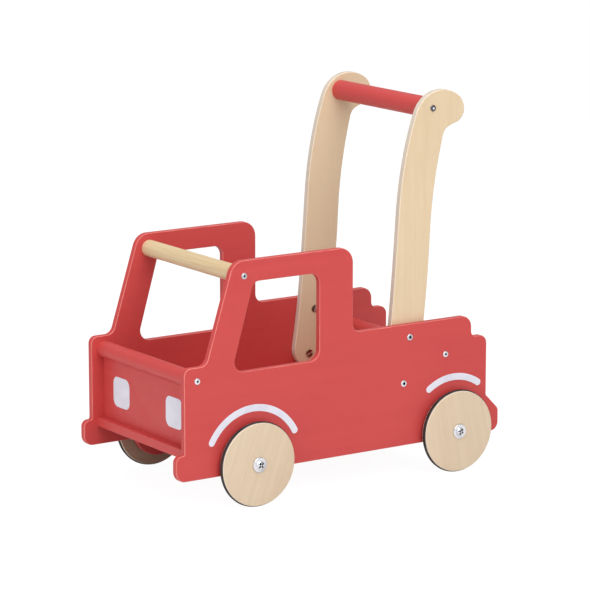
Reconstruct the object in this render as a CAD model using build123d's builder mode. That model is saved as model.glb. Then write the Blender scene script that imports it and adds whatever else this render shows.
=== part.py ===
# Push along truck: a plywood walker with a truck body, four wooden wheels and a tall handle.
# Millimetres. The truck faces -Y, +X is its left side, +Z is up.
# The origin is on the floor, under the middle of the body.
# Side outlines are drawn as (station, height): station runs back from the tip of the front
# bumper, and height up from the floor.
import os
from build123d import *

os.makedirs("parts", exist_ok=True)

# Driving dimensions
ply = 9.0
body_width = 238.0
body_length = 505.0
axle_height = 55.5
front_axle_station = 114.7
rear_axle_station = 430.5
wheel_radius = 54.0
tyre_proud = 1.5
edge_round = 1.5
edge_growth = 0.6  # the full outline stands this far outside the lines its rounded edges show
board_round = 1.0

half_width = body_width / 2
half_inside = half_width - ply
front_y = -body_length / 2
axle_stations = (front_axle_station, rear_axle_station)
sides = {"left": 1, "right": -1}

# Heights and stations of the side outline
bottom = 45.0
bumper_top = 78.0
hood_front = 12.5
hood_top = 189.0
pillar_foot = 45.2
cab_front = 86.1
cab_top = 318.0
cab_rear = 267.8
bed_top = 206.0
tail_step = (459.0, 177.0)
tail_back = 484.4
tail_slope = (95.0, 74.2)
lobe_radius = 38.0
lobe_fillet = 8.0

# Window
window_sill = 175.3
window_top = 290.6
window_back = 216.7
window_front = (81.7, 115.4)

# Boards between the sides
floor_top = 81.5
floor_thickness = 12.0
floor_front = 19.0
floor_back = 432.0
board_front = 30.1
tail_board_front = 412.0
housing_depth = 1.5

# Rails: station, height and radius
hood_rail = (30.8, 172.1, 11.0)
cab_rail = (101.1, 298.8, 11.0)
tail_rail = (416.6, 159.3, 11.0)
handle_rail = (399.5, 486.1, 13.5)
half_grip = half_inside - ply

# Handle arms
arm_width = 52.0
arm_foot = (351.5, 135.0)
arm_bolts_at = ((358.4, 189.2), (349.0, 128.2))

# Fasteners
bolt_radius = 3.0
bolt_head_radius = 4.5
nut_radius = 4.0
nut_head_radius = 5.3
screw_radius = 2.0
screw_head_radius = 4.2
screw_length = 45.0
head_height = 1.5
head_edge = 0.8
bolt_length = 16.0
rail_socket = 3.0
bolt_socket = 4.0
socket_depth = 1.3
slot_width = 1.3
slot_depth = 0.8
slot_turn = 25
nut_slack = 0.5
pin_radius = 3.0
pin_in_panel = 6.0
pin_in_board = 12.0
pin_slack = 0.5
floor_pin_stations = (60.0, 170.0, 280.0, 390.0)
front_pin_heights = (102.0, 142.0)
tail_pin_heights = (102.0, 132.0)
fit_gap = 0.05

# Wheels, as distances from the middle plane outwards
wheel_inner = 123.6
wheel_outer = wheel_inner + ply
turn_gap = 0.2
axle_radius = 4.0
bush_radius = 6.0
bush_flange_radius = 9.0
washer_thickness = 1.2
hub_washer_radius = 10.0
hub_washer_thickness = 1.6
hub_washer_slope = (2.0, 1.0)
hub_head_radius = 5.6
hub_head_height = 3.2
hub_screw_radius = 2.5
hub_screw_length = 14.0
cross_width = 1.3
cross_depth = 1.7
cross_turns = (35, 125)
wheel_bevel = 1.2
tyre_width = 5.0
tyre_depth = 1.5
tyre_round = 0.9

# Thin trim
trim = 0.3
stripe_radius = 71.4
stripe_width = 9.0
stripe_half_angles = (61.4, 34.0)
lamp_size = 40.0
lamp_corner = 10.0
lamp_offset = 65.0
lamp_height = 121.1


def side_plane(x):
    """The (station, height) plane at a distance x from the middle of the truck."""
    return Plane(origin=(x, front_y, 0), x_dir=(0, 1, 0), z_dir=(1, 0, 0))


def hub_plane(side, station, height=axle_height):
    """Distance outwards and radius, for what is turned about a line along X."""
    return Plane(origin=(0, front_y + station, height), x_dir=(side, 0, 0), z_dir=(0, 0, side))


def hub_axis(station, height=axle_height):
    """The line along X that a wheel or a fastener is turned about."""
    return Axis((0, front_y + station, height), (1, 0, 0))


def save(builder, name):
    """Labels a finished piece and writes its STEP file."""
    builder.part.label = name
    export_step(builder.part, f"parts/{name}.step")


# Wooden pins: where the boards meet the sides
floor_pin_height = floor_top - floor_thickness / 2
pins_at = [(station, floor_pin_height) for station in floor_pin_stations]
pins_at += [(board_front + ply / 2, height) for height in front_pin_heights]
pins_at += [(tail_board_front + ply / 2, height) for height in tail_pin_heights]
rail_screws_at = [rail[:2] for rail in (hood_rail, cab_rail, tail_rail)]

# Side panels
body_corners = {
    (0, bumper_top): 8,
    (0, bottom): 13,
    (body_length, bottom): 11,
    (body_length, tail_slope[1]): 9,
    (tail_back, tail_slope[0]): 4,
    (tail_back, tail_step[1]): 11,
    tail_step: 8,
    (tail_step[0], bed_top): 15,
    (cab_rear, bed_top): 12,
    (cab_rear, cab_top): 20,
    (cab_front, cab_top): 20,
    (pillar_foot, hood_top): 13,
    (hood_front, hood_top): 9,
    (hood_front, bumper_top): 3,
}
window_corners = {
    (window_front[0], window_sill): 14,
    (window_back, window_sill): 15,
    (window_back, window_top): 14,
    (window_front[1], window_top): 12,
}
for side_name, side in sides.items():
    with BuildPart() as panel:
        with BuildSketch(side_plane(side * half_inside)) as outline:
            with BuildLine():
                FilletPolyline(*body_corners, radius=body_corners.values(), close=True)
            make_face()
            with Locations(*[(station, axle_height) for station in axle_stations]):
                Circle(lobe_radius)
            lobe_foot = [
                corner
                for corner in outline.vertices().filter_by_position(Axis.Y, bottom - 1, bottom + 1)
                if min(abs(corner.X - station) for station in axle_stations) < lobe_radius
            ]
            fillet(lobe_foot, lobe_fillet)
            with BuildLine():
                FilletPolyline(*window_corners, radius=window_corners.values(), close=True)
            make_face(mode=Mode.SUBTRACT)
            offset(amount=edge_growth)
        extrude(amount=side * ply)
        fillet(panel.faces().filter_by(Axis.X).edges(), edge_round)
        with BuildSketch(side_plane(side * half_inside)):
            with Locations(*[(station, axle_height) for station in axle_stations]):
                Circle(axle_radius)
            with Locations(*arm_bolts_at):
                Circle(bolt_radius + fit_gap)
            with Locations(*rail_screws_at):
                Circle(screw_radius + fit_gap)
        extrude(amount=side * ply, mode=Mode.SUBTRACT)
        with BuildSketch(side_plane(side * half_inside)):
            with Locations(*pins_at):
                Circle(pin_radius)
        extrude(amount=side * pin_in_panel, mode=Mode.SUBTRACT)
    save(panel, f"side_panel_{side_name}")


def board(name, front, back, low, high, housings=()):
    """A board that spans the inside of the body, with holes for its pins and housings for boards on it."""
    with BuildPart() as piece:
        with BuildSketch(side_plane(-half_inside)):
            with Locations((front, low)):
                Rectangle(back - front, high - low, align=(Align.MIN, Align.MIN))
        extrude(amount=2 * half_inside)
        fillet(piece.edges().filter_by(Axis.X), board_round)
        for housing in housings:
            with BuildSketch(side_plane(-half_inside)):
                with Locations((housing, high)):
                    Rectangle(ply, housing_depth, align=(Align.MIN, Align.MAX))
            extrude(amount=2 * half_inside, mode=Mode.SUBTRACT)
        inside = [pin for pin in pins_at if front < pin[0] < back and low < pin[1] < high]
        for side in sides.values():
            with BuildSketch(side_plane(side * half_inside)):
                with Locations(*inside):
                    Circle(pin_radius)
            extrude(amount=-side * pin_in_board, mode=Mode.SUBTRACT)
    save(piece, name)


floor_bottom = floor_top - floor_thickness
housed = (board_front, tail_board_front)
board("floor_board", floor_front, floor_back, floor_bottom, floor_top, housed)
for board_name, front, rail_above in zip(("front_board", "tail_board"), housed, (hood_rail, tail_rail)):
    board(board_name, front, front + ply, floor_top - housing_depth, rail_above[1] - rail_above[2])

with BuildPart() as board_pins:
    for side in sides.values():
        with BuildSketch(side_plane(side * (half_inside + pin_in_panel - pin_slack))):
            with Locations(*pins_at):
                Circle(pin_radius - fit_gap)
        extrude(amount=-side * (pin_in_panel + pin_in_board - 2 * pin_slack))
save(board_pins, "board_pins")


def rail(name, station, height, radius, half_length):
    """A round dowel between two uprights, with a pilot hole for a screw in each end."""
    with BuildPart() as dowel:
        with BuildSketch(side_plane(-half_length)):
            with Locations((station, height)):
                Circle(radius)
        extrude(amount=2 * half_length)
        for side in sides.values():
            with BuildSketch(side_plane(side * half_length)):
                with Locations((station, height)):
                    Circle(screw_radius + fit_gap)
            extrude(amount=-side * screw_length, mode=Mode.SUBTRACT)
    save(dowel, name)


rail("hood_rail", *hood_rail, half_inside)
rail("cab_rail", *cab_rail, half_inside)
rail("tail_rail", *tail_rail, half_inside)
rail("handle_bar", *handle_rail, half_grip)

# Handle arms: a slim stem with a hooked head that holds the bar, drawn as a chain of tangent arcs
neck = (418.5, 456.1)
neck_radius = 16.0
front_knots = (
    (338.2, 237.0),
    (346.6, 348.0),
    (361.0, 441.0),
    (374.0, 482.5),
    (406.0, 508.8),
    (441.0, 500.6),
    (450.7, 482.0),
    (437.0, 464.4),
    neck,
)
back_knots = ((390.2, 228.0), (397.2, 322.0), (412.2, 430.3), neck)
foot = Vector(*arm_foot)
stem_lean = Vector(1.0, 6.0).normalized()
foot_front = foot + stem_lean.rotate(Axis.Z, 90) * arm_width / 2
foot_back = foot - stem_lean.rotate(Axis.Z, 90) * arm_width / 2
for side_name, side in sides.items():
    with BuildPart() as arm:
        with BuildSketch(side_plane(side * half_grip)) as outline:
            with BuildLine():
                ThreePointArc(foot_back, foot - stem_lean * arm_width / 2, foot_front)
                for start, knots in ((foot_front, front_knots), (foot_back, back_knots)):
                    heading = stem_lean
                    for knot in knots:
                        arc = TangentArc(start, knot, tangent=heading)
                        start, heading = arc @ 1, arc % 1
            make_face()
            fillet(outline.vertices().sort_by_distance((*neck, 0))[0], neck_radius)
        extrude(amount=side * ply)
        fillet(arm.faces().filter_by(Axis.X).edges(), edge_round)
        with BuildSketch(side_plane(side * half_grip)):
            with Locations(*arm_bolts_at):
                Circle(nut_radius + fit_gap)
            with Locations(handle_rail[:2]):
                Circle(screw_radius + fit_gap)
        extrude(amount=side * ply, mode=Mode.SUBTRACT)
    save(arm, f"handle_arm_{side_name}")


def turned(places, profile):
    """One ring or disc for each (side, station, height); profile is (distance outwards, radius)."""
    with BuildPart() as piece:
        for side, station, height in places:
            with BuildSketch(hub_plane(side, station, height)):
                with BuildLine():
                    Polyline(*profile, close=True)
                make_face()
            revolve(axis=hub_axis(station, height))
    return piece


def on_both_sides(points):
    """Every (station, height) on the left and on the right."""
    return [(side, *point) for side in sides.values() for point in points]


def screws(name, points, head_at, shank_radius, shank_length, head_radius, socket):
    """Flat-headed screws with a hexagon socket, one each side at every point."""
    crown = head_at + head_height
    profile = (
        (head_at - shank_length, 0),
        (head_at - shank_length, shank_radius),
        (head_at, shank_radius),
        (head_at, head_radius),
        (crown - head_edge, head_radius),
        (crown, head_radius - head_edge),
        (crown, 0),
    )
    with BuildPart() as fasteners:
        add(turned(on_both_sides(points), profile).part)
        for side in sides.values():
            with BuildSketch(side_plane(side * crown)):
                with Locations(*points):
                    RegularPolygon(socket / 2, 6, major_radius=False)
            extrude(amount=-side * socket_depth, mode=Mode.SUBTRACT)
    save(fasteners, name)


rail_screw = (screw_radius, screw_length, screw_head_radius, rail_socket)
screws("rail_screws", rail_screws_at, half_width, *rail_screw)
screws("handle_bar_screws", [handle_rail[:2]], half_inside, *rail_screw)
screws("arm_bolts", arm_bolts_at, half_width, bolt_radius, bolt_length, bolt_head_radius, bolt_socket)

nut_face = half_grip - head_height
nut_end = half_inside - nut_slack
nut_profile = (
    (nut_face, 0),
    (nut_face, nut_head_radius - head_edge),
    (nut_face + head_edge, nut_head_radius),
    (half_grip, nut_head_radius),
    (half_grip, nut_radius),
    (nut_end, nut_radius),
    (nut_end, bolt_radius + fit_gap),
    (half_grip, bolt_radius + fit_gap),
    (half_grip, 0),
)
with BuildPart() as arm_nuts:
    add(turned(on_both_sides(arm_bolts_at), nut_profile).part)
    for side in sides.values():
        with BuildSketch(side_plane(side * nut_face)):
            with Locations(*arm_bolts_at):
                Rectangle(slot_width, 3 * nut_head_radius, rotation=slot_turn)
        extrude(amount=side * slot_depth, mode=Mode.SUBTRACT)
save(arm_nuts, "arm_nuts")

# Axles, fixed in the lobes of the sides, with a threaded hole in each end
axle_end = wheel_outer + 2 * turn_gap
axle_points = [(station, axle_height) for station in axle_stations]
for axle_name, axle_point in zip(("front_axle", "rear_axle"), axle_points):
    with BuildPart() as axle:
        with BuildSketch(side_plane(-axle_end)):
            with Locations(axle_point):
                Circle(axle_radius - fit_gap)
        extrude(amount=2 * axle_end)
        for side in sides.values():
            with BuildSketch(side_plane(side * axle_end)):
                with Locations(axle_point):
                    Circle(hub_screw_radius)
            extrude(amount=-side * hub_screw_length, mode=Mode.SUBTRACT)
    save(axle, axle_name)

hubs = on_both_sides(axle_points)
inner_washer_face = half_width + washer_thickness
inner_washer_profile = (
    (half_width, axle_radius),
    (inner_washer_face, axle_radius),
    (inner_washer_face, bush_flange_radius),
    (half_width, bush_flange_radius),
)
save(turned(hubs, inner_washer_profile), "inner_washers")

hub_face = axle_end + hub_washer_thickness
hub_washer_profile = (
    (axle_end, hub_screw_radius),
    (axle_end, hub_washer_radius),
    (hub_face - hub_washer_slope[1], hub_washer_radius),
    (hub_face, hub_washer_radius - hub_washer_slope[0]),
    (hub_face, hub_screw_radius),
)
save(turned(hubs, hub_washer_profile), "hub_washers")

hub_crown = hub_face + hub_head_height
with BuildPart() as hub_screws:
    for side, station, height in hubs:
        with BuildSketch(hub_plane(side, station, height)):
            with BuildLine():
                Polyline(
                    (hub_crown, 0),
                    (hub_face - hub_screw_length, 0),
                    (hub_face - hub_screw_length, hub_screw_radius - fit_gap),
                    (hub_face, hub_screw_radius - fit_gap),
                    (hub_face, hub_head_radius),
                    (hub_face + head_edge, hub_head_radius),
                )
                ThreePointArc(
                    (hub_face + head_edge, hub_head_radius),
                    (hub_face + 0.85 * hub_head_height, 0.6 * hub_head_radius),
                    (hub_crown, 0),
                )
            make_face()
        revolve(axis=hub_axis(station, height))
    for side in sides.values():
        with BuildSketch(side_plane(side * hub_crown)):
            with Locations(*axle_points):
                for turn in cross_turns:
                    Rectangle(cross_width, 1.2 * hub_head_radius, rotation=turn)
        extrude(amount=-side * cross_depth, mode=Mode.SUBTRACT)
save(hub_screws, "hub_screws")

# Wheels: a plywood disc with a groove round its rim, a rubber band in the groove, and a bush
groove_inner = (wheel_inner + wheel_outer - tyre_width) / 2
groove_outer = groove_inner + tyre_width
groove_radius = wheel_radius - tyre_depth
wheel_profile = (
    (wheel_inner, bush_radius),
    (wheel_inner, wheel_radius - wheel_bevel),
    (wheel_inner + wheel_bevel, wheel_radius),
    (groove_inner, wheel_radius),
    (groove_inner, groove_radius),
    (groove_outer, groove_radius),
    (groove_outer, wheel_radius),
    (wheel_outer - wheel_bevel, wheel_radius),
    (wheel_outer, wheel_radius - wheel_bevel),
    (wheel_outer, bush_radius),
)
tyre_profile = (
    (groove_inner + fit_gap, groove_radius),
    (groove_inner + fit_gap, wheel_radius + tyre_proud - tyre_round),
    (groove_inner + tyre_round, wheel_radius + tyre_proud),
    (groove_outer - tyre_round, wheel_radius + tyre_proud),
    (groove_outer - fit_gap, wheel_radius + tyre_proud - tyre_round),
    (groove_outer - fit_gap, groove_radius),
)
flange_face = inner_washer_face + turn_gap
bush_end = wheel_outer + turn_gap
bush_profile = (
    (flange_face, axle_radius),
    (flange_face, bush_flange_radius),
    (wheel_inner, bush_flange_radius),
    (wheel_inner, bush_radius - fit_gap),
    (bush_end, bush_radius - fit_gap),
    (bush_end, axle_radius),
)
for end, axle_point in zip(("front", "rear"), axle_points):
    for side_name, side in sides.items():
        hub = [(side, *axle_point)]
        save(turned(hub, wheel_profile), f"wheel_{end}_{side_name}")
        save(turned(hub, tyre_profile), f"tyre_{end}_{side_name}")
        save(turned(hub, bush_profile), f"bush_{end}_{side_name}")

# White trim: a stripe over each wheel, and two headlights on the front board
for side_name, side in sides.items():
    with BuildPart() as stripes:
        with BuildSketch(side_plane(side * half_width)):
            for station, half_angle in zip(axle_stations, stripe_half_angles):
                with BuildLine(mode=Mode.PRIVATE) as middle:
                    CenterArc((station, axle_height), stripe_radius, 90 - half_angle, 2 * half_angle)
                SlotArc(middle.edge(), stripe_width)
        extrude(amount=side * trim)
    save(stripes, f"wheel_stripes_{side_name}")

with BuildPart() as headlights:
    lamp_middle = (0, front_y + board_front, lamp_height)
    with BuildSketch(Plane(origin=lamp_middle, x_dir=(1, 0, 0), z_dir=(0, -1, 0))):
        with Locations((-lamp_offset, 0), (lamp_offset, 0)):
            RectangleRounded(lamp_size, lamp_size, lamp_corner)
    extrude(amount=trim)
save(headlights, "headlights")
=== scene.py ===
# Push along truck: red plywood body, birch handle arms, four wooden wheels with rubber bands.
from math import cos, hypot, pi, radians, sin

import bmesh
import bpy
from mathutils import Matrix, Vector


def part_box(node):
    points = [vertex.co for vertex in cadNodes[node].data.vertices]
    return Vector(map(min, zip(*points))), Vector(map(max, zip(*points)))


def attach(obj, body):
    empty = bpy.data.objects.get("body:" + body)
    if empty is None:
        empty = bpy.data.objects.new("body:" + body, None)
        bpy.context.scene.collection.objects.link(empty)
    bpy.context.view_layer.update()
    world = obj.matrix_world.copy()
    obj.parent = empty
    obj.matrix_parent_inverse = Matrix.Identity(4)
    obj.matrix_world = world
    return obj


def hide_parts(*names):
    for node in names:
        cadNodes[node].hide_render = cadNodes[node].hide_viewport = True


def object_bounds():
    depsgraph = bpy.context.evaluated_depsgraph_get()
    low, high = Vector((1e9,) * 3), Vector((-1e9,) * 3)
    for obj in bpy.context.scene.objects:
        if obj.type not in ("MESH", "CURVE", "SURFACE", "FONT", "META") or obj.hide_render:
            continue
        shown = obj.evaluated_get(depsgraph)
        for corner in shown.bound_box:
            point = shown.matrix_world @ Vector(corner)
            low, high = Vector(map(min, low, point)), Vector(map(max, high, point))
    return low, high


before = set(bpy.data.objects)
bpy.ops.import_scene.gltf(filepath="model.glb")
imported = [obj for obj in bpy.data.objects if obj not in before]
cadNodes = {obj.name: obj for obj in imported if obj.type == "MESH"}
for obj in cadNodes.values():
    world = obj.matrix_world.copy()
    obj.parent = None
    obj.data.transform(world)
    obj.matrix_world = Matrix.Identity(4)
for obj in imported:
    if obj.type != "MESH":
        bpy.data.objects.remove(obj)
cadLow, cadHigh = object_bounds()
bodyName = "truck"
sides = {"left": 1, "right": -1}
ends = ("front", "rear")
print("frame loaded,", len(cadNodes), "CAD nodes")


cameraSettings = {
    "place": (3.3761, -2.2604, 1.0662),
    "elevation": 11.533,
    "azimuth": 56.132,
    "lens": 192.44,
    "sensor": 36.0,
    "farthest": 100.0,
}
lightSettings = {
    "key": {"place": (2.6, -0.5, 2.0), "size": 2.2, "watts": 52.0},
    "front": {"place": (0.4, -2.8, 1.3), "size": 2.0, "watts": 24.0},
    "top": {"place": (0.0, 0.2, 2.8), "size": 2.6, "watts": 30.0},
}
roomSettings = {
    "seen": 1.0,
    "fill": 0.44,
    "floorRadius": 14.0,
    "floorSegments": 96,
    "floorShade": 0.15,
    "floorWhite": 0.82,
    "floorGlow": 1.12,
}
white = (1, 1, 1, 1)


def addNode(tree, kind, inputs=None, **attributes):
    made = tree.nodes.new(kind)
    for name, value in attributes.items():
        setattr(made, name, value)
    for name, value in (inputs or {}).items():
        if isinstance(value, bpy.types.NodeSocket):
            tree.links.new(value, made.inputs[name])
        else:
            made.inputs[name].default_value = value
    return made


def calculate(tree, operation, *values):
    made = addNode(tree, "ShaderNodeMath", dict(enumerate(values)), operation=operation)
    return made.outputs[0]


def times(tree, first, second):
    return calculate(tree, "MULTIPLY", first, second)


def plus(tree, first, second):
    return calculate(tree, "ADD", first, second)


def calculateVector(tree, operation, first, second, socket=1):
    inputs = {0: first, socket: second}
    return addNode(tree, "ShaderNodeVectorMath", inputs, operation=operation).outputs[0]


def ramp(tree, value, low, high, toLow=0.0, toHigh=1.0):
    inputs = {"Value": value, "From Min": low, "From Max": high, "To Min": toLow, "To Max": toHigh}
    return addNode(tree, "ShaderNodeMapRange", inputs, interpolation_type="SMOOTHSTEP").outputs[0]


def noise(tree, place, settings):
    return addNode(tree, "ShaderNodeTexNoise", {"Vector": place, **settings}).outputs


def blendColours(tree, factor, first, second):
    made = tree.nodes.new("ShaderNodeMix")
    made.data_type = "RGBA"
    for place, value in ((0, factor), (6, first), (7, second)):  # the mix node's colour sockets
        if isinstance(value, bpy.types.NodeSocket):
            tree.links.new(value, made.inputs[place])
        else:
            made.inputs[place].default_value = value
    return made.outputs[2]


def makeCamera():
    data = bpy.data.cameras.new("studioCamera")
    data.lens = cameraSettings["lens"]
    data.sensor_width = cameraSettings["sensor"]
    data.clip_end = cameraSettings["farthest"]
    camera = bpy.data.objects.new("studioCamera", data)
    camera.location = cameraSettings["place"]
    tilt = radians(90 - cameraSettings["elevation"])
    camera.rotation_euler = (tilt, 0, radians(cameraSettings["azimuth"]))
    bpy.context.scene.collection.objects.link(camera)
    bpy.context.scene.camera = camera


def makeLights():
    middle = (cadLow + cadHigh) / 2
    for name, settings in lightSettings.items():
        data = bpy.data.lights.new(name + "Light", "AREA")
        data.shape = "DISK"
        data.size = settings["size"]
        data.energy = settings["watts"]
        light = bpy.data.objects.new(name + "Light", data)
        light.location = settings["place"]
        light.rotation_euler = (middle - light.location).to_track_quat("-Z", "Y").to_euler()
        bpy.context.scene.collection.objects.link(light)


def makeRoom():
    world = bpy.data.worlds.new("studio")
    world.use_nodes = True
    bpy.context.scene.world = world
    bpy.context.scene.view_settings.view_transform = "Standard"
    tree = world.node_tree
    backdrop = tree.nodes["Background"]
    seen = addNode(tree, "ShaderNodeLightPath").outputs["Is Camera Ray"]
    strength = ramp(tree, seen, 0, 1, roomSettings["fill"], roomSettings["seen"])
    tree.links.new(strength, backdrop.inputs["Strength"])
    backdrop.inputs["Color"].default_value = white

    shape = bmesh.new()
    segments, radius = roomSettings["floorSegments"], roomSettings["floorRadius"]
    bmesh.ops.create_circle(shape, cap_ends=True, segments=segments, radius=radius)
    mesh = bpy.data.meshes.new("floor")
    shape.to_mesh(mesh)
    shape.free()
    floor = bpy.data.objects.new("floor", mesh)
    bpy.context.scene.collection.objects.link(floor)
    paper = bpy.data.materials.new("paleFloor")
    paper.use_nodes = True
    tree = paper.node_tree
    tree.nodes.clear()
    pale = (roomSettings["floorWhite"],) * 3 + (1,)
    matt = addNode(tree, "ShaderNodeBsdfDiffuse", {"Color": pale}).outputs[0]
    light = {"Color": white, "Strength": roomSettings["floorGlow"]}
    glow = addNode(tree, "ShaderNodeEmission", light).outputs[0]
    seen = addNode(tree, "ShaderNodeLightPath").outputs["Is Camera Ray"]
    share = times(tree, seen, 1 - roomSettings["floorShade"])
    mixed = addNode(tree, "ShaderNodeMixShader", {0: share, 1: matt, 2: glow}).outputs[0]
    addNode(tree, "ShaderNodeOutputMaterial", {"Surface": mixed})
    mesh.materials.append(paper)


makeCamera()
makeLights()
makeRoom()
print("stage ready")


def surfaceGroup(name, inputs, outputs):
    group = bpy.data.node_groups.new(name, "ShaderNodeTree")
    for label, kind, value in inputs:
        socket = group.interface.new_socket(label, in_out="INPUT", socket_type=kind)
        if value is not None:
            socket.default_value = value
    for label in outputs:
        group.interface.new_socket(label, in_out="OUTPUT", socket_type="NodeSocketFloat")
    return group, addNode(group, "NodeGroupInput").outputs


grainSettings = {
    "width": 0.0016,
    "length": 0.07,
    "waver": 0.004,
    "drift": {"Scale": 9.0, "Detail": 2.0},
    "streaks": {"Scale": 1.0, "Detail": 5.0, "Roughness": 0.62},
    "pores": {"Scale": 3.1, "Detail": 2.0},
    "broad": {"Scale": 0.16, "Detail": 3.0},
    "grainRange": (0.32, 0.70),
    "fleckRange": (0.64, 0.76),
    "figureRange": (0.34, 0.66),
}


def makeWoodGrain():
    # streaks run along the Z of Place
    group, given = surfaceGroup(
        "woodGrain",
        [
            ("Place", "NodeSocketVector", None),
            ("Streak Width", "NodeSocketFloat", grainSettings["width"]),
            ("Streak Length", "NodeSocketFloat", grainSettings["length"]),
            ("Waver", "NodeSocketFloat", grainSettings["waver"]),
        ],
        ["Grain", "Fleck", "Figure"],
    )
    drift = noise(group, given["Place"], grainSettings["drift"])["Color"]
    centred = calculateVector(group, "SUBTRACT", drift, (0.5, 0.5, 0.5))
    push = calculateVector(group, "SCALE", centred, given["Waver"], "Scale")
    bent = calculateVector(group, "ADD", given["Place"], push)
    across = calculate(group, "DIVIDE", 1.0, given["Streak Width"])
    along = calculate(group, "DIVIDE", 1.0, given["Streak Length"])
    spread = addNode(group, "ShaderNodeCombineXYZ", {"X": across, "Y": across, "Z": along}).outputs[0]
    stretched = calculateVector(group, "MULTIPLY", bent, spread)
    streaks = noise(group, stretched, grainSettings["streaks"])["Fac"]
    pores = noise(group, stretched, grainSettings["pores"])["Fac"]
    broad = noise(group, stretched, grainSettings["broad"])["Fac"]
    found = {
        "Grain": ramp(group, streaks, *grainSettings["grainRange"]),
        "Fleck": ramp(group, pores, *grainSettings["fleckRange"]),
        "Figure": ramp(group, broad, *grainSettings["figureRange"]),
    }
    addNode(group, "NodeGroupOutput", found)
    return group


edgeSettings = {
    "thickness": 0.009,
    "layers": 7.0,
    "edgeRange": (0.45, 0.85),
    "risingRange": (0.10, 0.55),
    "fallingRange": (0.80, 0.995),
    "glueRange": (0.04, 0.16),
}


def makePlyEdge():
    # Across is the distance into the board and Facing is how squarely the surface faces along it
    group, given = surfaceGroup(
        "plyEdge",
        [
            ("Across", "NodeSocketFloat", 0.0),
            ("Facing", "NodeSocketFloat", 1.0),
            ("Thickness", "NodeSocketFloat", edgeSettings["thickness"]),
            ("Layers", "NodeSocketFloat", edgeSettings["layers"]),
        ],
        ["Edge", "Round", "Layer", "Glue"],
    )
    share = calculate(group, "DIVIDE", given["Across"], given["Thickness"])
    counted = times(group, share, given["Layers"])
    layer = calculate(group, "FLOORED_MODULO", calculate(group, "FLOOR", counted), 2.0)
    within = calculate(group, "FRACT", counted)
    fromLine = calculate(group, "MINIMUM", within, calculate(group, "SUBTRACT", 1.0, within))
    rising = ramp(group, given["Facing"], *edgeSettings["risingRange"])
    falling = ramp(group, given["Facing"], *edgeSettings["fallingRange"], 1.0, 0.0)
    found = {
        "Edge": ramp(group, given["Facing"], *edgeSettings["edgeRange"], 1.0, 0.0),
        "Round": times(group, rising, falling),
        "Layer": layer,
        "Glue": ramp(group, fromLine, *edgeSettings["glueRange"], 1.0, 0.0),
    }
    addNode(group, "NodeGroupOutput", found)
    return group


handlingSettings = {
    "cloud": {"Scale": 7.0, "Detail": 3.0},
    "smudge": {"Scale": 38.0, "Detail": 4.0, "Distortion": 0.6},
    "ripple": {"Scale": 620.0, "Detail": 2.0},
    "cloudRange": (0.3, 0.7),
    "smudgeRange": (0.42, 0.68),
}


def makeHandling():
    # faint marks that hands and rolling leave, and the fine ripple of a sprayed lacquer
    inputs = [("Place", "NodeSocketVector", None)]
    group, given = surfaceGroup("handling", inputs, ["Cloud", "Smudge", "Ripple"])
    kinds = ("cloud", "smudge", "ripple")
    marks = [noise(group, given["Place"], handlingSettings[kind]) for kind in kinds]
    cloud, smudge, ripple = (mark["Fac"] for mark in marks)
    found = {
        "Cloud": ramp(group, cloud, *handlingSettings["cloudRange"]),
        "Smudge": ramp(group, smudge, *handlingSettings["smudgeRange"]),
        "Ripple": ripple,
    }
    addNode(group, "NodeGroupOutput", found)
    return group


woodGrain = makeWoodGrain()
plyEdge = makePlyEdge()
handling = makeHandling()


def startMaterial(name):
    material = bpy.data.materials.new(name)
    material.use_nodes = True
    tree = material.node_tree
    shader = tree.nodes["Principled BSDF"]
    coordinates = addNode(tree, "ShaderNodeTexCoord").outputs
    return material, tree, shader, coordinates


def useGroup(tree, group, inputs):
    return addNode(tree, "ShaderNodeGroup", inputs, node_tree=group).outputs


def finishShader(tree, shader, colour, roughness, height, depth, plain):
    bump = addNode(tree, "ShaderNodeBump", {"Height": height, "Distance": depth, "Strength": 1.0})
    tree.links.new(bump.outputs[0], shader.inputs["Normal"])
    tree.links.new(colour, shader.inputs["Base Color"])
    tree.links.new(roughness, shader.inputs["Roughness"])
    for name, value in plain.items():
        shader.inputs[name].default_value = value


def turnedPlace(tree, coordinates, turn):
    inputs = {"Vector": coordinates["Object"], "Rotation": turn}
    return addNode(tree, "ShaderNodeMapping", inputs).outputs[0]


def boardEdge(tree, coordinates, boardInner):
    # the distance into the board from its inner face, and the masks that follow from it
    place = addNode(tree, "ShaderNodeSeparateXYZ", {0: coordinates["Object"]}).outputs
    normal = addNode(tree, "ShaderNodeSeparateXYZ", {0: coordinates["Normal"]}).outputs
    across = calculate(tree, "SUBTRACT", calculate(tree, "ABSOLUTE", place["X"]), boardInner)
    facing = calculate(tree, "ABSOLUTE", normal["X"])
    return across, useGroup(tree, plyEdge, {"Across": across, "Facing": facing})


paintSettings = {
    "red": (0.580, 0.064, 0.060, 1),
    "deepRed": (0.555, 0.058, 0.056, 1),
    # lighter red for round edges: part wear, part painted highlight
    "rubbedAndHighlightRed": (0.740, 0.230, 0.205, 1),
    "rubAndHighlightShare": (0.50, 0.90),
    "streakWidth": 0.0022,
    "streakLength": 0.09,
    "grainHeight": 0.18,
    "rippleHeight": 0.3,
    "layerHeight": 0.9,
    "roughness": (0.40, 0.50),
    "depth": 0.00004,
    "plain": {"IOR": 1.46, "Coat Roughness": 0.28, "Specular IOR Level": 0.42},
}


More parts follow.
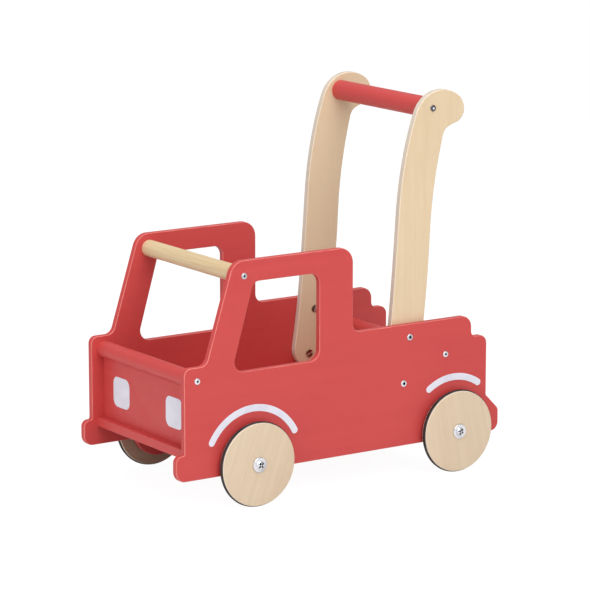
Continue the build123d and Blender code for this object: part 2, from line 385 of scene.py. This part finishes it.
def makePaint(name, turn, boardInner, layered):
    # satin lacquer: the grain and the board's layers just show through it, and round edges are lighter,
    # partly rubbed thin and partly a painted highlight
    own = paintSettings
    material, tree, shader, coordinates = startMaterial(name)
    streaks = {"Streak Width": own["streakWidth"], "Streak Length": own["streakLength"]}
    place = {"Place": turnedPlace(tree, coordinates, turn)}
    grain = useGroup(tree, woodGrain, {**place, **streaks})
    marks = useGroup(tree, handling, {"Place": coordinates["Object"]})
    tone = times(tree, marks["Cloud"], grain["Figure"])
    colour = blendColours(tree, tone, own["red"], own["deepRed"])
    height = times(tree, grain["Grain"], own["grainHeight"])
    height = plus(tree, height, times(tree, marks["Ripple"], own["rippleHeight"]))
    if layered:
        edge = boardEdge(tree, coordinates, boardInner)[1]
        # round edges blend towards a lighter red: partly wear, partly a painted highlight where light
        # catches them
        rub = times(tree, edge["Round"], ramp(tree, marks["Smudge"], 0, 1, *own["rubAndHighlightShare"]))
        colour = blendColours(tree, rub, colour, own["rubbedAndHighlightRed"])
        ridge = times(tree, edge["Edge"], edge["Layer"])
        height = plus(tree, height, times(tree, ridge, own["layerHeight"]))
    roughness = ramp(tree, marks["Smudge"], 0, 1, *own["roughness"])
    finishShader(tree, shader, colour, roughness, height, own["depth"], own["plain"])
    return material


birchSettings = {
    "arm": {
        "pale": (0.755, 0.594, 0.400, 1),
        "warm": (0.670, 0.504, 0.320, 1),
        # inner: painted shade, a darker tone for the inner face that faces away from the light
        "inner": (0.700, 0.540, 0.360, 1),
        "streaks": 0.36,
        "blotches": 0.22,
        "roundHighlightShare": 0.35,
    },
    "wheel": {
        "pale": (0.725, 0.592, 0.434, 1),
        "warm": (0.610, 0.462, 0.315, 1),
        # inner: painted shade, a darker tone for the inner face that faces away from the light
        "inner": (0.380, 0.265, 0.185, 1),
        "streaks": 0.22,
        "blotches": 0.26,
        "roundHighlightShare": 0.60,
    },
    "fleck": (0.540, 0.390, 0.250, 1),
    "fleckShare": 0.25,
    # rim: a painted highlight along the rounded edges of the faces
    "rim": (0.840, 0.740, 0.600, 1),
    "layerPale": (0.740, 0.650, 0.550, 1),
    "layerDark": (0.630, 0.540, 0.440, 1),
    "glue": (0.480, 0.380, 0.290, 1),
    "glueShare": 0.5,
    "innerShadeShare": 0.8,
    "innerShadeRange": (0.0002, 0.0006),
    "rippleHeight": 0.25,
    "roughness": (0.42, 0.56),
    "depth": 0.00008,
    "plain": {"IOR": 1.46, "Specular IOR Level": 0.38},
}


def makeBirch(name, turn, boardInner, tones):
    # lacquered birch plywood: pale straight grain on the faces, alternating layers on the edges
    own = birchSettings
    material, tree, shader, coordinates = startMaterial(name)
    grain = useGroup(tree, woodGrain, {"Place": turnedPlace(tree, coordinates, turn)})
    marks = useGroup(tree, handling, {"Place": coordinates["Object"]})
    across, edge = boardEdge(tree, coordinates, boardInner)
    broad = times(tree, plus(tree, grain["Figure"], marks["Cloud"]), tones["blotches"])
    tone = plus(tree, times(tree, grain["Grain"], tones["streaks"]), broad)
    face = blendColours(tree, tone, tones["pale"], tones["warm"])
    face = blendColours(tree, times(tree, grain["Fleck"], own["fleckShare"]), face, own["fleck"])
    # painted shade: the inner face is darkened towards the inner tone
    paintedInnerShade = ramp(tree, across, *own["innerShadeRange"], 1.0, 0.0)
    face = blendColours(tree, times(tree, paintedInnerShade, own["innerShadeShare"]), face, tones["inner"])
    layers = blendColours(tree, edge["Layer"], own["layerPale"], own["layerDark"])
    layers = blendColours(tree, times(tree, edge["Glue"], own["glueShare"]), layers, own["glue"])
    colour = blendColours(tree, edge["Edge"], face, layers)
    # painted highlight: the rounded edges are blended towards the pale rim tone
    colour = blendColours(tree, times(tree, edge["Round"], tones["roundHighlightShare"]), colour, own["rim"])
    height = calculate(tree, "SUBTRACT", grain["Grain"], grain["Fleck"])
    height = plus(tree, height, times(tree, marks["Ripple"], own["rippleHeight"]))
    roughness = ramp(tree, marks["Smudge"], 0, 1, *own["roughness"])
    finishShader(tree, shader, colour, roughness, height, own["depth"], own["plain"])
    return material


dowelSettings = {
    "pale": (0.740, 0.580, 0.360, 1),
    "warm": (0.620, 0.440, 0.240, 1),
    "line": (0.470, 0.300, 0.150, 1),
    "streakWidth": 0.0024,
    "streakLength": 0.16,
    "warmShare": 0.8,
    "lineShare": 0.5,
    "roughness": (0.38, 0.52),
    "depth": 0.0001,
    "plain": {"IOR": 1.46, "Specular IOR Level": 0.4},
}


def makeDowel(name, turn):
    # turned hardwood with longer, clearer lines than the plywood
    own = dowelSettings
    material, tree, shader, coordinates = startMaterial(name)
    streaks = {"Streak Width": own["streakWidth"], "Streak Length": own["streakLength"]}
    place = {"Place": turnedPlace(tree, coordinates, turn)}
    grain = useGroup(tree, woodGrain, {**place, **streaks})
    marks = useGroup(tree, handling, {"Place": coordinates["Object"]})
    colour = blendColours(tree, times(tree, grain["Grain"], own["warmShare"]), own["pale"], own["warm"])
    colour = blendColours(tree, times(tree, grain["Fleck"], own["lineShare"]), colour, own["line"])
    height = calculate(tree, "SUBTRACT", grain["Grain"], grain["Fleck"])
    roughness = ramp(tree, marks["Smudge"], 0, 1, *own["roughness"])
    finishShader(tree, shader, colour, roughness, height, own["depth"], own["plain"])
    return material


plainSettings = {
    "whitePrint": {
        "light": (0.760, 0.755, 0.840, 1),
        "dark": (0.690, 0.685, 0.780, 1),
        "roughness": (0.40, 0.52),
        "depth": 0.00004,
        "plain": {"IOR": 1.45},
    },
    "blackRubber": {
        "light": (0.012, 0.012, 0.013, 1),
        "dark": (0.055, 0.052, 0.050, 1),  # dusty
        "roughness": (0.55, 0.80),
        "depth": 0.0001,
        "plain": {"IOR": 1.5},
    },
    "nylon": {
        "light": (0.72, 0.70, 0.64, 1),
        "dark": (0.62, 0.60, 0.54, 1),
        "roughness": (0.40, 0.52),
        "depth": 0.00003,
        "plain": {"IOR": 1.52},
    },
    "zinc": {
        "light": (0.86, 0.88, 0.92, 1),
        "dark": (0.60, 0.63, 0.68, 1),
        # recess: painted shade inside the tool sockets
        "recess": (0.02, 0.035, 0.04, 1),
        "roughness": (0.22, 0.40),
        "depth": 0.00003,
        "plain": {"Metallic": 1.0},
    },
    # the grip screw heads are painted dark as the shade of a counterbore ring; the pale socket tone
    # stands for the zinc head inside it
    "paintedShadeZinc": {
        "light": (0.17, 0.15, 0.16, 1),
        "dark": (0.09, 0.08, 0.09, 1),
        "recess": (0.80, 0.85, 0.92, 1),
        "roughness": (0.30, 0.45),
        "depth": 0.00003,
        "plain": {"Metallic": 1.0},
    },
    "bronze": {
        "light": (0.300, 0.190, 0.130, 1),
        "dark": (0.120, 0.070, 0.050, 1),
        # recess: a painted glint in the nut's slot
        "recess": (0.62, 0.53, 0.47, 1),
        "roughness": (0.34, 0.55),
        "depth": 0.00003,
        "plain": {"Metallic": 1.0},
    },
    "axleSteel": {
        "light": (0.52, 0.53, 0.55, 1),
        "dark": (0.33, 0.34, 0.36, 1),
        "roughness": (0.28, 0.45),
        "depth": 0.00003,
        "plain": {"Metallic": 1.0},
    },
}


def makePlainFinish(name, own):
    # one even stuff whose tone, roughness and surface vary a little,
    # with a painted tone inside tool recesses: painted shade, a painted glint, or a pale head tone
    material, tree, shader, coordinates = startMaterial(name)
    marks = useGroup(tree, handling, {"Place": coordinates["Object"]})
    colour = blendColours(tree, marks["Smudge"], own["light"], own["dark"])
    if "recess" in own:
        # recess tones: painted shade in zinc sockets, a painted glint in bronze slots, the pale zinc
        # head tone in the shaded grip screws
        inside = addNode(tree, "ShaderNodeAttribute", attribute_name="recess").outputs["Fac"]
        colour = blendColours(tree, inside, colour, own["recess"])
    roughness = ramp(tree, marks["Smudge"], 0, 1, *own["roughness"])
    finishShader(tree, shader, colour, roughness, marks["Ripple"], own["depth"], own["plain"])
    return material


# the turns that lay the grain along an axis, and around each wheel's own
alongY = (radians(90), 0, 0)
alongX = (0, radians(-90), 0)
alongZ = (0, 0, 0)
wheelTurns = {"front_left": 20, "front_right": 75, "rear_left": -12, "rear_right": 130}

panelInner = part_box("side_panel_left")[0][0]
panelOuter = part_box("side_panel_left")[1][0]
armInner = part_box("handle_arm_left")[0][0]
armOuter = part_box("handle_arm_left")[1][0]
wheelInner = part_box("wheel_front_left")[0][0]
materials = {
    "paintedPanel": makePaint("paintedPanel", alongY, panelInner, True),
    "paintedBoard": makePaint("paintedBoard", alongX, panelInner, False),
    "birchArm": makeBirch("birchArm", alongZ, armInner, birchSettings["arm"]),
    "naturalDowel": makeDowel("naturalDowel", alongX),
}
for finish, settings in plainSettings.items():
    materials[finish] = makePlainFinish(finish, settings)
for wheel, turn in wheelTurns.items():
    lean, tones = (radians(turn), 0, 0), birchSettings["wheel"]
    materials["birch_" + wheel] = makeBirch("birchWheel_" + wheel, lean, wheelInner, tones)
print(len(materials), "materials ready")


def meshObject(name, mesh):
    made = bpy.data.objects.new(name, mesh)
    bpy.context.scene.collection.objects.link(made)
    return made


def geometryTree(name, inputs):
    tree = bpy.data.node_groups.new(name, "GeometryNodeTree")
    tree.interface.new_socket("Geometry", in_out="INPUT", socket_type="NodeSocketGeometry")
    for label, kind in inputs.items():
        tree.interface.new_socket(label, in_out="INPUT", socket_type=kind)
    tree.interface.new_socket("Geometry", in_out="OUTPUT", socket_type="NodeSocketGeometry")
    return tree, addNode(tree, "NodeGroupInput").outputs


sameSpot = 0.000004  # points closer than this are one


def makeLatheTree():
    # turns a profile of (radius - Reach, -height) once round Z, then cuts the tool recess out of it
    inputs = {
        "Reach": "NodeSocketFloat",
        "Segments": "NodeSocketInt",
        "Recess": "NodeSocketObject",
        "Has Recess": "NodeSocketBool",
    }
    tree, given = geometryTree("lathe", inputs)
    profile = addNode(tree, "GeometryNodeMeshToCurve", {"Mesh": given["Geometry"]}).outputs[0]
    circle = {"Resolution": given["Segments"], "Radius": given["Reach"]}
    path = addNode(tree, "GeometryNodeCurvePrimitiveCircle", circle).outputs["Curve"]
    sweep = {"Curve": path, "Profile Curve": profile}
    swept = addNode(tree, "GeometryNodeCurveToMesh", sweep).outputs[0]
    merging = {"Geometry": swept, "Distance": sameSpot}
    closed = addNode(tree, "GeometryNodeMergeByDistance", merging).outputs[0]
    tool = addNode(tree, "GeometryNodeObjectInfo", {"Object": given["Recess"]}).outputs["Geometry"]
    both = {"Mesh 1": closed, "Mesh 2": tool}
    cut = addNode(tree, "GeometryNodeMeshBoolean", both, operation="DIFFERENCE").outputs["Mesh"]
    choice = {"Switch": given["Has Recess"], "False": closed, "True": cut}
    chosen = addNode(tree, "GeometryNodeSwitch", choice, input_type="GEOMETRY").outputs[0]
    addNode(tree, "NodeGroupOutput", {"Geometry": chosen})
    return tree


def makeSetTree():
    # sets one copy of Shape at each point, its Z along the point's own outward direction,
    # turned about it by chance
    inputs = {
        "Shape": "NodeSocketObject",
        "Loose Turn": "NodeSocketFloat",
        "Seed": "NodeSocketInt",
        "Material": "NodeSocketMaterial",
    }
    tree, given = geometryTree("setOnPoints", inputs)
    outward = addNode(
        tree, "GeometryNodeInputNamedAttribute", {"Name": "outward"}, data_type="FLOAT_VECTOR"
    ).outputs[0]
    aim = {"Vector": outward}
    facing = addNode(tree, "FunctionNodeAlignRotationToVector", aim, axis="Z").outputs[0]
    limits = {"Max": given["Loose Turn"], "Seed": given["Seed"]}
    chance = addNode(tree, "FunctionNodeRandomValue", limits, data_type="FLOAT").outputs[1]
    about = {"Axis": (0, 0, 1), "Angle": chance}
    spin = addNode(tree, "FunctionNodeAxisAngleToRotation", about).outputs[0]
    turning = {"Rotation": facing, "Rotate By": spin}
    turned = addNode(tree, "FunctionNodeRotateRotation", turning, rotation_space="LOCAL").outputs[0]
    shape = addNode(tree, "GeometryNodeObjectInfo", {"Object": given["Shape"]}).outputs["Geometry"]
    setting = {"Points": given["Geometry"], "Instance": shape, "Rotation": turned}
    copies = addNode(tree, "GeometryNodeInstanceOnPoints", setting).outputs[0]
    real = addNode(tree, "GeometryNodeRealizeInstances", {"Geometry": copies}).outputs[0]
    coat = {"Geometry": real, "Material": given["Material"]}
    coated = addNode(tree, "GeometryNodeSetMaterial", coat).outputs[0]
    addNode(tree, "NodeGroupOutput", {"Geometry": coated})
    return tree


latheTree = makeLatheTree()
setTree = makeSetTree()


def runTree(holder, tree, values):
    # gives the tree's result as a plain mesh, and takes the modifier off again
    modifier = holder.modifiers.new("nodes", "NODES")
    modifier.node_group = tree
    for item in tree.interface.items_tree:
        if item.in_out == "INPUT" and item.name in values:
            modifier[item.identifier] = values[item.name]
    depsgraph = bpy.context.evaluated_depsgraph_get()
    mesh = bpy.data.meshes.new_from_object(holder.evaluated_get(depsgraph), depsgraph=depsgraph)
    holder.modifiers.remove(modifier)
    return mesh


toolOvershoot = 0.001
justOff = 0.00005
latheReach = 0.1


def recessTool(kind, size, width, depth, top):
    # the shape of a driver's tip, standing on Z with its end at top - depth
    shape = bmesh.new()
    height = depth + toolOvershoot
    if kind == "hex":
        radius = size / 2
        bmesh.ops.create_cone(
            shape, cap_ends=True, segments=6, radius1=radius, radius2=radius, depth=height
        )
    else:
        for turn in (0, 90) if kind == "cross" else (0,):
            made = bmesh.ops.create_cube(shape, size=1.0)["verts"]
            bmesh.ops.scale(shape, vec=(size, width, height), verts=made)
            quarter = Matrix.Rotation(radians(turn), 3, "Z")
            bmesh.ops.rotate(shape, cent=(0, 0, 0), matrix=quarter, verts=made)
    bmesh.ops.translate(shape, vec=(0, 0, top - depth + height / 2), verts=shape.verts)
    mesh = bpy.data.meshes.new("recess")
    shape.to_mesh(mesh)
    shape.free()
    return meshObject("recess", mesh)


def insideRecess(point, kind, size, width, depth, top):
    if not top - depth < point.z < top:
        return False
    if kind == "hex":
        return hypot(point.x, point.y) < size / 2
    bars = [(point.x, point.y), (point.y, point.x)] if kind == "cross" else [(point.x, point.y)]
    return any(abs(along) < size / 2 and abs(across) < width / 2 for along, across in bars)


def turnedShape(name, profile, segments, recess=None):
    # profile is (height, radius) pairs, closed on itself, outwards below and inwards above
    tool = recessTool(*recess) if recess else None
    points = [(radius - latheReach, -height, 0) for height, radius in reversed(profile)]
    mesh = bpy.data.meshes.new(name)
    mesh.from_pydata(points, [(i, (i + 1) % len(points)) for i in range(len(points))], [])
    holder = meshObject(name, mesh)
    values = {"Reach": latheReach, "Segments": segments, "Has Recess": bool(recess)}
    if tool:
        values["Recess"] = tool
    solid = runTree(holder, latheTree, values)
    shape = bmesh.new()
    shape.from_mesh(solid)
    bmesh.ops.remove_doubles(shape, verts=shape.verts, dist=sameSpot)
    bmesh.ops.dissolve_degenerate(shape, edges=shape.edges, dist=sameSpot / 2)
    bmesh.ops.recalc_face_normals(shape, faces=shape.faces)
    if recess:
        shape.normal_update()
        inside = shape.faces.layers.float.new("recess")
        for face in shape.faces:
            face[inside] = insideRecess(face.calc_center_median() + face.normal * justOff, *recess)
        bpy.data.objects.remove(tool)
        print(name, "has", sum(face[inside] for face in shape.faces), "recess faces")
    shape.to_mesh(solid)
    shape.free()
    bpy.data.objects.remove(holder)
    return meshObject(name + "Shape", solid)


sharpAngle = 32


def setPieces(name, shape, points, material, body, stoodFor, seed, looseTurn=360):
    # points are (side, y, z); the shape's own heights are measured from the middle plane
    mesh = bpy.data.meshes.new(name + "Points")
    mesh.from_pydata([(0, y, z) for side, y, z in points], [], [])
    outward = mesh.attributes.new("outward", "FLOAT_VECTOR", "POINT")
    for number, (side, y, z) in enumerate(points):
        outward.data[number].vector = (side, 0, 0)
    holder = meshObject(name + "Points", mesh)
    values = {"Shape": shape, "Loose Turn": radians(looseTurn), "Seed": seed, "Material": material}
    finished = runTree(holder, setTree, values)
    finished.shade_smooth()
    finished.set_sharp_from_angle(angle=radians(sharpAngle))
    bpy.data.objects.remove(holder)
    bpy.data.objects.remove(shape)
    piece = meshObject(name, finished)
    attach(piece, body)
    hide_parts(stoodFor)


def roundOver(centre, radius, start, end, steps):
    # points on an arc in the (height, radius) plane, angles in degrees from outwards
    angles = [radians(start + (end - start) * i / steps) for i in range(steps + 1)]
    return [(centre[0] + radius * cos(a), centre[1] + radius * sin(a)) for a in angles]


def nodeMiddle(node):
    low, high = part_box(node)
    return (low[1] + high[1]) / 2, (low[2] + high[2]) / 2


wheelSettings = {
    "bevel": 0.0012,
    "grooveWidth": 0.005,
    "grooveDepth": 0.0015,
    "bore": 0.006,
    "segments": 192,
    "steps": 4,
}


def wheelProfile(inner, outer, radius):
    bevel = wheelSettings["bevel"]
    steps = wheelSettings["steps"]
    middle = (inner + outer) / 2
    grooveLow = middle - wheelSettings["grooveWidth"] / 2
    grooveHigh = middle + wheelSettings["grooveWidth"] / 2
    floor = radius - wheelSettings["grooveDepth"]
    bore = wheelSettings["bore"]
    profile = [(inner, bore)]
    profile += roundOver((inner + bevel, radius - bevel), bevel, 180, 90, steps)
    profile += [(grooveLow, radius), (grooveLow, floor), (grooveHigh, floor), (grooveHigh, radius)]
    profile += roundOver((outer - bevel, radius - bevel), bevel, 90, 0, steps)
    profile += [(outer, bore)]
    return profile


tyreSettings = {"shoulder": 0.0012, "crown": 0.0003, "segments": 192, "steps": 5}


def tyreProfile(inner, outer, radius, floor):
    # a flat band with round shoulders and a very slight crown
    shoulder = tyreSettings["shoulder"]
    steps = tyreSettings["steps"]
    side = radius - tyreSettings["crown"] - shoulder
    profile = [(inner, floor)]
    profile += roundOver((inner + shoulder, side), shoulder, 180, 90, steps)
    profile += [((inner + outer) / 2, radius)]
    profile += roundOver((outer - shoulder, side), shoulder, 90, 0, steps)
    profile += [(outer, floor)]
    return profile


def crossSection(node):
    # how far the node's two faces are from the middle plane, and its radius about X
    low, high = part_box(node)
    inner, outer = sorted((abs(low[0]), abs(high[0])))
    return inner, outer, (high[2] - low[2]) / 2


def makeWheels():
    for end in ends:
        for sideName, side in sides.items():
            place = end + "_" + sideName
            wheel, tyre = "wheel_" + place, "tyre_" + place
            points = [(side, *nodeMiddle(wheel))]
            inner, outer, radius = crossSection(wheel)
            disc = turnedShape("disc", wheelProfile(inner, outer, radius), wheelSettings["segments"])
            birch = materials["birch_" + place]
            setPieces("plyWheel_" + place, disc, points, birch, wheel, wheel, 1, 0)
            floor = radius - wheelSettings["grooveDepth"]
            tyreShape = tyreProfile(*crossSection(tyre), floor)
            band = turnedShape("band", tyreShape, tyreSettings["segments"])
            rubber = materials["blackRubber"]
            setPieces("rubberBand_" + place, band, points, rubber, wheel, tyre, 1, 0)


makeWheels()
print("wheels made")

headSettings = {"point": 0.6, "rim": 0.35, "crown": 0.8, "roundEnd": 20, "steps": 5}
railScrewSettings = {
    "segments": 40,
    "headRadius": 0.0042,
    "headHeight": 0.0015,
    "socket": 0.0034,
    "socketDepth": 0.0011,
    "shank": 0.002,
    "length": 0.045,
}
armBoltSettings = {
    "segments": 40,
    "headRadius": 0.0045,
    "headHeight": 0.0015,
    "socket": 0.0046,
    "socketDepth": 0.0012,
    "shank": 0.003,
    "length": 0.016,
}


def headedProfile(base, settings):
    # a low head with a rounded rim on a plain shank, measured from the surface it sits on
    radius, height, shank = settings["headRadius"], settings["headHeight"], settings["shank"]
    tip = base - settings["length"]
    rim = base + height * headSettings["rim"]
    roundRadius = height * (1 - headSettings["rim"])
    profile = [(tip, 0), (tip, shank * headSettings["point"]), (tip + shank, shank), (base, shank)]
    profile += [(base, radius), (rim, radius)]
    profile += roundOver(
        (rim, radius - roundRadius), roundRadius, 90, headSettings["roundEnd"], headSettings["steps"]
    )
    profile += [(base + height, (radius - roundRadius) * headSettings["crown"]), (base + height, 0)]
    return profile


def socketScrews(name, base, settings, points, finish, stoodFor, seed):
    top = base + settings["headHeight"]
    recess = ("hex", settings["socket"], 0, settings["socketDepth"], top)
    shape = turnedShape(name, headedProfile(base, settings), settings["segments"], recess)
    setPieces(name, shape, points, materials[finish], bodyName, stoodFor, seed)


def makeScrews():
    for name, base, nodes, stoodFor, finish, seed in (
        ("railScrews", panelOuter, ("hood_rail", "cab_rail", "tail_rail"), "rail_screws", "zinc", 3),
        ("gripScrews", armOuter, ("handle_bar",), "handle_bar_screws", "paintedShadeZinc", 5),
    ):
        points = [(side, *nodeMiddle(node)) for side in sides.values() for node in nodes]
        socketScrews(name, base, railScrewSettings, points, finish, stoodFor, seed)


def armBoltPoints():
    low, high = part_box("arm_bolts")
    reach = armBoltSettings["headRadius"]
    places = [(low[1] + reach, low[2] + reach), (high[1] - reach, high[2] - reach)]
    return [(side, *place) for side in sides.values() for place in places]


nutSettings = {
    "segments": 40,
    "headRadius": 0.0053,
    "headHeight": 0.0015,
    "faceEdge": 0.0008,
    "round": 0.0007,
    "roundStart": 10,
    "steps": 4,
    "slotWidth": 0.0024,
    "slotDepth": 0.0008,
    "sleeve": 0.004,
}


def makeNuts(points):
    # sleeve nuts that face inwards, so their heights run down towards the middle plane
    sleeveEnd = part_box("arm_nuts")[1][0]
    top = nutSettings["headHeight"] - armInner
    radius, sleeve, curve = nutSettings["headRadius"], nutSettings["sleeve"], nutSettings["round"]
    profile = [(top, 0), (top, radius - nutSettings["faceEdge"])]
    profile += roundOver(
        (top - curve, radius - curve), curve, nutSettings["roundStart"], 90, nutSettings["steps"]
    )
    profile += [(-armInner, radius), (-armInner, sleeve), (-sleeveEnd, sleeve), (-sleeveEnd, 0)]
    recess = ("slot", radius * 3, nutSettings["slotWidth"], nutSettings["slotDepth"], top)
    shape = turnedShape("armNuts", profile[::-1], nutSettings["segments"], recess)
    inward = [(-side, y, z) for side, y, z in points]
    setPieces("armNuts", shape, inward, materials["bronze"], bodyName, "arm_nuts", 11)


hubSettings = {
    "segments": 56,
    "washerRadius": 0.010,
    "washerThickness": 0.0016,
    "washerEdge": 0.0003,
    "washerRound": 0.0008,
    "washerRoundEnd": 10,
    "washerSteps": 5,
    "washerFlat": 0.0022,
    "headRadius": 0.0056,
    "headHeight": 0.0032,
    "headEdge": (0.0003, 0.0002),
    "domeStart": 0.0006,
    "domeSteps": 8,
    "crossWidth": 0.0023,
    "crossLength": 0.0084,
    "crossDepth": 0.0026,
    "shank": 0.0024,
    "neckShare": 0.9,
    "length": 0.014,
}


def makeHubs():
    hub = hubSettings
    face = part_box("hub_washers")[1][0]
    base = face - hub["washerThickness"]
    crown = face + hub["headHeight"]
    rim, edge, curve = hub["washerRadius"], hub["washerEdge"], hub["washerRound"]
    end, steps = hub["washerRoundEnd"], hub["washerSteps"]
    washer = [(base, hub["shank"]), (base, rim - edge), (base + edge, rim)]
    washer += roundOver((face - curve, rim - curve), curve, 90, end, steps)
    washer += [(face, rim - hub["washerFlat"]), (face, hub["shank"])]

    tip, neck = face - hub["length"], hub["shank"] * hub["neckShare"]
    rise, inset = hub["headEdge"]
    head = [(tip, 0), (tip, neck), (face, neck)]
    head += [(face, hub["headRadius"] - inset), (face + rise, hub["headRadius"])]
    for step in range(hub["domeSteps"]):
        angle = step * pi / (2 * hub["domeSteps"])
        height = hub["domeStart"] + (hub["headHeight"] - hub["domeStart"]) * sin(angle)
        head += [(face + height, hub["headRadius"] * cos(angle))]
    head += [(crown, 0)]

    points = [(side, *nodeMiddle("wheel_" + end + "_left")) for side in sides.values() for end in ends]
    recess = ("cross", hub["crossLength"], hub["crossWidth"], hub["crossDepth"], crown)
    for name, profile, cut, stoodFor, seed in (
        ("hubWashers", washer, None, "hub_washers", 2),
        ("hubScrews", head, recess, "hub_screws", 14),
    ):
        shape = turnedShape(name, profile, hub["segments"], cut)
        setPieces(name, shape, points, materials["zinc"], bodyName, stoodFor, seed)


makeScrews()
boltPoints = armBoltPoints()
socketScrews("armBolts", panelOuter, armBoltSettings, boltPoints, "zinc", "arm_bolts", 8)
makeNuts(boltPoints)
makeHubs()
print("fasteners made")

finishes = {
    "paintedPanel": ("side_panel_left", "side_panel_right"),
    "paintedBoard": (
        "floor_board", "front_board", "tail_board", "hood_rail", "tail_rail", "handle_bar",
    ),
    "birchArm": ("handle_arm_left", "handle_arm_right"),
    "naturalDowel": ("cab_rail", "board_pins"),
    "whitePrint": ("headlights", "wheel_stripes_left", "wheel_stripes_right"),
    "zinc": ("inner_washers",),
    "axleSteel": ("front_axle", "rear_axle"),
    "nylon": tuple("bush_" + end + "_" + side for end in ends for side in sides),
}
for finish, nodes in finishes.items():
    for node in nodes:
        slots = cadNodes[node].data.materials
        slots.clear()
        slots.append(materials[finish])
print("finishes set")
